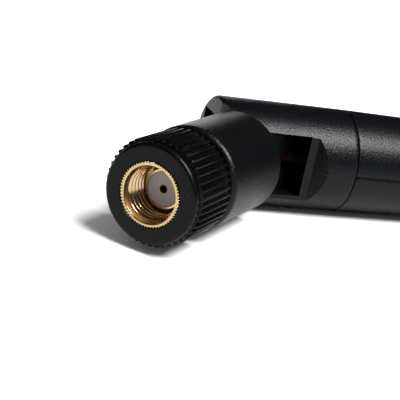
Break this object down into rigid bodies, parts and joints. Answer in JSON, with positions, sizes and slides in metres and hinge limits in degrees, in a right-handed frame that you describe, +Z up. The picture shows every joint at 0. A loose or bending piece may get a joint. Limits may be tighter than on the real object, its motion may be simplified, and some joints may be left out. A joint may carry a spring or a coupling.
{
  "type": "omnidirectional antenna",
  "caption": "Black hinged whip antenna with a knurled grip, gold-plated threaded plug, swivel base, elbow joint and tapered radome, lying bent half way.",
  "frame": {"origin": "centre of the bounding box in plan, on the surface it lies on", "axes": "-Y out of the plug's front face along the plug's axis, +Z up and along the elbow hinge, arm towards +X +Y"},
  "size_m": [0.1288, 0.148, 0.014],
  "materials": {
    "grip_plastic": "satin moulded",
    "base_plastic": "satin moulded",
    "radome_plastic": "fine spark-eroded grain",
    "gold_plated_brass": "gold plated, turned",
    "contact_gold": "gold plated",
    "spring_bronze": "plain",
    "pin_steel": "turned",
    "ferrule_nickel": "nickel plated",
    "radiator_brass": "drawn tube",
    "whip_copper": "drawn wire",
    "ptfe": "turned",
    "silicone": "moulded",
    "coax_jacket": "extruded",
    "foam": "cut foam",
    "heat_shrink": "shrunk tube",
    "former_plastic": "moulded"
  },
  "bodies": {
    "base": {"swivel_base": "base_plastic", "connector_shell": "gold_plated_brass", "gasket": "silicone", "dielectric": "ptfe", "centre_contact": "contact_gold", "crimp_ferrule": "ferrule_nickel", "hinge_pin_upper": "pin_steel", "hinge_pin_lower": "pin_steel", "coax_base": "coax_jacket", "coax_hinge": "coax_jacket"},
    "nut": {"coupling_nut": "gold_plated_brass", "grip_sleeve": "grip_plastic", "snap_ring": "spring_bronze"},
    "arm": {"knuckle_yoke": "radome_plastic", "radome_upper": "radome_plastic", "radome_lower": "radome_plastic", "coax_arm": "coax_jacket", "heat_shrink": "heat_shrink", "radiator_skirt": "radiator_brass", "feed_washer": "radiator_brass", "coax_core": "ptfe", "radiator_whip": "whip_copper", "coil_former": "former_plastic", "foam_support_lower": "foam", "foam_support_upper": "foam"}
  },
  "joints": [
    {"name": "nut_spin", "type": "hinge", "parent": "base", "child": "nut", "pos_m": [-0.05495, -0.07399, 0.007], "axis": [0, 1, 0], "continuous": true},
    {"name": "elbow_tilt", "type": "hinge", "parent": "base", "child": "arm", "pos_m": [-0.05495, -0.04535, 0.007], "axis": [0, 0, -1], "range_deg": [-45, 45], "deforming": ["coax_hinge"]}
  ]
}
